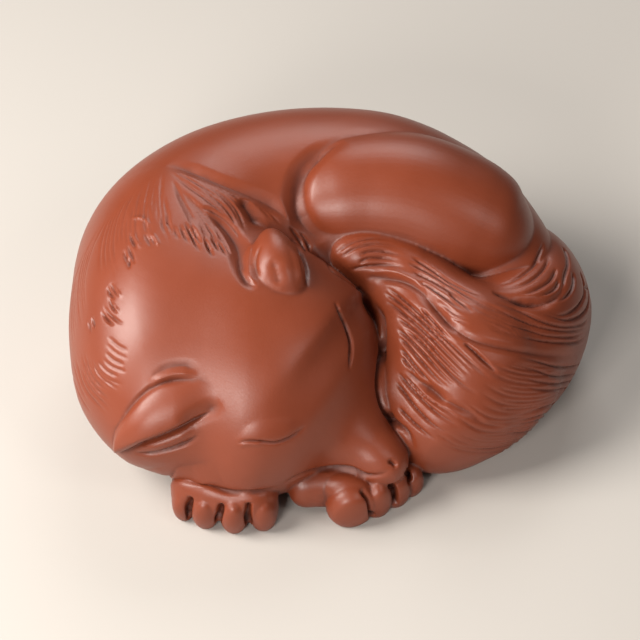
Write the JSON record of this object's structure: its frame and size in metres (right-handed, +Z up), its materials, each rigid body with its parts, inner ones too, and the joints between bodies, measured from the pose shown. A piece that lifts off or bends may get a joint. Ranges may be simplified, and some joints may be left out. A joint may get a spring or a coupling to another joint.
{
  "type": "tea pet",
  "caption": "Small unglazed red clay figure of a sleeping fox curled nose to tail, cast in one piece with a flat foot, that sits on a tea tray.",
  "frame": {"origin": "centre of the outline, on the flat underside that rests on the tray", "axes": "+X along the length, from the fox's neck towards its rump; +Y from its nose and paws towards its back; +Z up from the tray"},
  "size_m": [0.0996, 0.0854, 0.0445],
  "materials": {
    "red_clay": "unglazed fired red clay, fine grain, satin from handling"
  },
  "bodies": {
    "root": {"sleeping_fox": "red_clay"}
  },
  "joints": []
}
